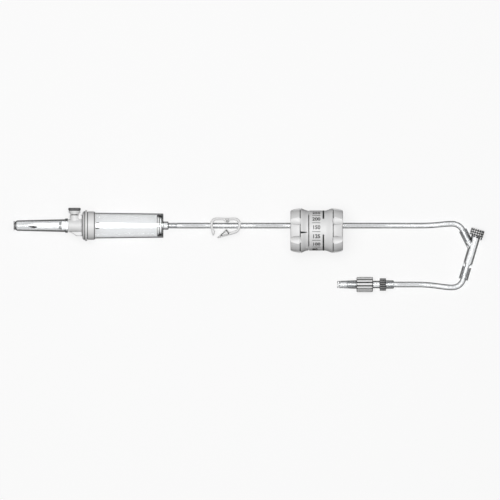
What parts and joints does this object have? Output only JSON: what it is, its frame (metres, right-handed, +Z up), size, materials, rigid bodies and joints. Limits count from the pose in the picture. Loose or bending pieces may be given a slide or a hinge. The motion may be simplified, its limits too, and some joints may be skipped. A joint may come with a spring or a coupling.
{
  "type": "iv infusion set",
  "caption": "Gravity infusion set laid flat: vented spike with cover, drip chamber, pinch clamp, rotary flow regulator, branch site and luer lock on clear tubing.",
  "frame": {"origin": "middle of the set's footprint, on the surface it lies on", "axes": "+X along the line from the spike to the branch site, +Z up from the surface"},
  "size_m": [0.3438, 0.0614, 0.0324],
  "materials": {
    "white_abs": "moulded, satin",
    "clear_pvc": "clear, glossy",
    "translucent_pe": "milky, waxy",
    "black_cage": "moulded, matt",
    "filter_white": "felted filter web",
    "bung_rubber": "moulded, matt, with pale flecks",
    "grip_grey": "moulded, fine ribs",
    "seal_silicone": "smooth",
    "tubing_pvc": "clear, flexible"
  },
  "bodies": {
    "line": {"spike_hub": "white_abs", "vent_filter": "filter_white", "drip_chamber": "clear_pvc", "chamber_outlet": "clear_pvc", "filter_cage": "black_cage", "filter_disc": "filter_white", "support_disc": "white_abs", "regulator_body": "white_abs", "regulator_end_cap": "white_abs", "inlet_seal": "seal_silicone", "outlet_seal": "seal_silicone", "y_connector": "clear_pvc", "injection_bung": "bung_rubber", "luer_body": "clear_pvc", "grip_ring": "grip_grey", "tubing_upper": "tubing_pvc", "tubing_middle": "tubing_pvc", "tubing_lower": "tubing_pvc"},
    "cover": {"spike_cover": "translucent_pe"},
    "vent_plug": {"vent_cap": "white_abs"},
    "clamp": {"pinch_clamp": "white_abs"},
    "dial": {"regulator_dial": "white_abs"},
    "lock_nut": {"luer_nut": "white_abs"},
    "tip_cap": {"luer_cap": "translucent_pe"}
  },
  "joints": [
    {"name": "cover_slide", "type": "slide", "parent": "line", "child": "cover", "axis": [-1, 0, 0], "range_m": [0, 0.036]},
    {"name": "vent_cap_slide", "type": "slide", "parent": "line", "child": "vent_plug", "axis": [0, 1, 0], "range_m": [0, 0.006]},
    {"name": "clamp_slide", "type": "slide", "parent": "line", "child": "clamp", "axis": [1, 0, 0], "range_m": [-0.001, 0.005]},
    {"name": "dial_turn", "type": "hinge", "parent": "line", "child": "dial", "pos_m": [0.0434, 0.0141, 0.01616], "axis": [1, 0, 0], "range_deg": [-120, 180]},
    {"name": "nut_spin", "type": "hinge", "parent": "line", "child": "lock_nut", "pos_m": [0.0784, -0.0253, 0.00555], "axis": [1, 0, 0], "continuous": true},
    {"name": "tip_cap_slide", "type": "slide", "parent": "line", "child": "tip_cap", "axis": [-1, 0, 0], "range_m": [0, 0.016]}
  ]
}
